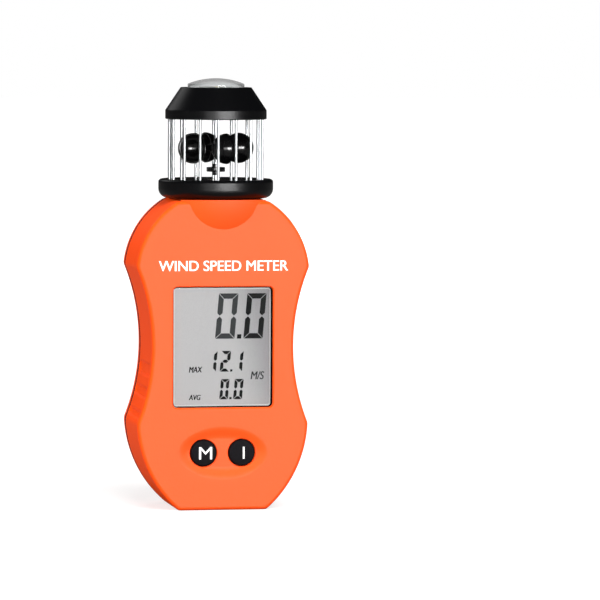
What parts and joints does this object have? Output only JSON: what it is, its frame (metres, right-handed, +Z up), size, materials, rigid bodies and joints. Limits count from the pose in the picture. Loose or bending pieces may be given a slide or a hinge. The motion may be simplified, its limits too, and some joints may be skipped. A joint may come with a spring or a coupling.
{
  "type": "handheld weather meter",
  "caption": "Pocket wind meter: waisted orange two-shell housing with display and two keys, caged cup rotor above, and a liquid compass in the cap.",
  "frame": {"origin": "centre of the flat base, on the surface that the meter stands on", "axes": "+Z up along the rotor's axis, -Y out of the display face, +X to the right seen from the front"},
  "size_m": [0.0474, 0.0308, 0.1148],
  "materials": {
    "orange_abs": "moulded ABS, fine satin texture",
    "black_satin": "moulded ABS, satin",
    "black_gloss": "moulded, polished",
    "steel": "polished steel",
    "screw_steel": "plated steel",
    "brass": "turned",
    "clear_acrylic": "clear, polished",
    "display_glass": "grey display glass behind a film",
    "rubber": "moulded",
    "key_black": "moulded, matt face",
    "circuit_green": "solder-mask lacquer",
    "dial_green": "printed card",
    "cell_steel": "nickel-plated steel"
  },
  "bodies": {
    "housing": {"front_shell": "orange_abs", "rear_shell": "orange_abs", "shell_gasket": "rubber", "lcd_window": "clear_acrylic", "lcd_panel": "display_glass", "zebra_strip_upper": "rubber", "zebra_strip_lower": "rubber", "switch_mode": "black_satin", "switch_power": "black_satin", "circuit_board": "circuit_green", "battery_holder": "black_satin", "negative_contact": "screw_steel", "positive_contact": "screw_steel", "coin_cell": "cell_steel", "collar_ring": "black_satin", "collar_screw_1": "screw_steel", "collar_screw_2": "screw_steel", "base_plate": "black_gloss", "cage_top_plate": "black_satin", "lower_bearing": "brass", "upper_bearing": "brass", "hall_sensor": "black_satin", "head_cap": "black_satin", "compass_capsule": "clear_acrylic", "compass_base": "black_gloss", "compass_pin": "steel", "housing_screw_1": "screw_steel", "housing_screw_2": "screw_steel", "housing_screw_3": "screw_steel", "housing_screw_4": "screw_steel", "guard_rod_01": "steel", "guard_rod_02": "steel", "guard_rod_03": "steel", "guard_rod_04": "steel", "guard_rod_05": "steel", "guard_rod_06": "steel", "guard_rod_07": "steel", "guard_rod_08": "steel", "guard_rod_09": "steel", "guard_rod_10": "steel", "guard_rod_11": "steel", "guard_rod_12": "steel", "guard_rod_13": "steel", "guard_rod_14": "steel", "guard_rod_15": "steel", "guard_rod_16": "steel"},
    "rotor": {"rotor_shaft": "steel", "cup_rotor": "black_satin", "magnet_disc": "black_satin"},
    "mode_key": {"button_mode": "key_black"},
    "power_key": {"button_power": "key_black"},
    "compass_float": {"compass_card": "dial_green", "compass_magnet": "screw_steel", "compass_hub": "brass"},
    "cover_lift": {"battery_cover_seal": "rubber"},
    "cover_turn": {"battery_cover": "orange_abs"}
  },
  "joints": [
    {"name": "rotor_spin", "type": "hinge", "parent": "housing", "child": "rotor", "pos_m": [0, 0, 0.0961], "axis": [0, 0, 1], "continuous": true},
    {"name": "compass_turn", "type": "hinge", "parent": "housing", "child": "compass_float", "pos_m": [0, 0, 0.1122], "axis": [0, 0, 1], "continuous": true},
    {"name": "mode_press", "type": "slide", "parent": "housing", "child": "mode_key", "axis": [0, 1, 0], "range_m": [0, 0.0006], "stiffness_N_per_m": 1500},
    {"name": "power_press", "type": "slide", "parent": "housing", "child": "power_key", "axis": [0, 1, 0], "range_m": [0, 0.0006], "stiffness_N_per_m": 1500},
    {"name": "cover_out", "type": "slide", "parent": "housing", "child": "cover_lift", "axis": [0, 1, 0], "range_m": [0, 0.0018]},
    {"name": "cover_unscrew", "type": "hinge", "parent": "cover_lift", "child": "cover_turn", "pos_m": [0, 0.0115, 0.044], "axis": [0, 1, 0], "range_deg": [0, 270]}
  ],
  "couplings": [
    {"joint": "cover_out", "follows": "cover_unscrew", "m_per_rad": 0.00038197}
  ]
}
